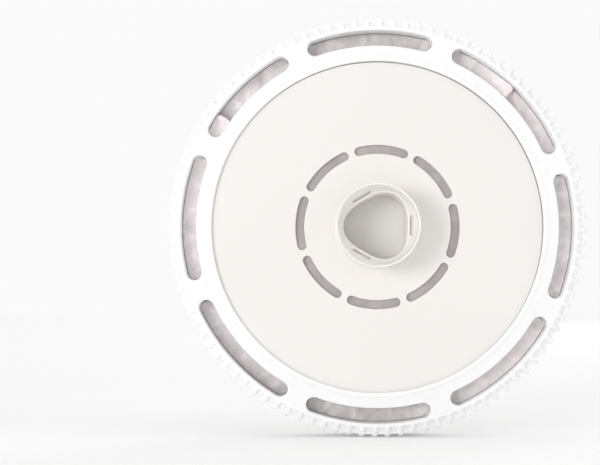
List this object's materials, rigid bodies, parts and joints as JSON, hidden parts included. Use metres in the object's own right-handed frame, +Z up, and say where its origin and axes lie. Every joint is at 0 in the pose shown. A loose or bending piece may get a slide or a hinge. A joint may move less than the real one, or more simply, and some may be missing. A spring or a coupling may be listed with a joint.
{
  "type": "slotted filter disc",
  "caption": "Flat round filter disc with a toothed rim, curved slots over grey fleece and a hollow hub with a three-lobed socket that plugs on to a shaft.",
  "frame": {"origin": "on the disc's axis, half way along the hub tube", "axes": "+Z up as the disc stands on its rim, Y along the disc's axis with the hub and the front facing -Y, +X to the right seen from the front"},
  "size_m": [0.2052, 0.0398, 0.2052],
  "materials": {
    "ring_plastic": "bright white moulded plastic, fine satin",
    "panel_plastic": "warm white moulded plastic, fine satin",
    "socket_plastic": "warm white moulded plastic, fine satin",
    "cover_plastic": "white moulded plastic, fine satin",
    "frame_plastic": "white moulded plastic",
    "fleece": "grey needled fleece",
    "pouch_fleece": "grey thin fleece bag with granules"
  },
  "bodies": {
    "root": {"toothed_ring": "ring_plastic", "hub_panel": "panel_plastic", "drive_socket": "socket_plastic", "back_cover": "cover_plastic", "spoke_frame": "frame_plastic", "outer_fleece_long": "fleece", "outer_fleece_short": "fleece", "inner_fleece_ring": "fleece", "back_fleece_ring": "fleece", "media_pouch_1": "pouch_fleece", "media_pouch_2": "pouch_fleece", "media_pouch_3": "pouch_fleece", "media_pouch_4": "pouch_fleece", "media_pouch_5": "pouch_fleece", "media_pouch_6": "pouch_fleece", "media_pouch_7": "pouch_fleece", "media_pouch_8": "pouch_fleece"}
  },
  "joints": []
}
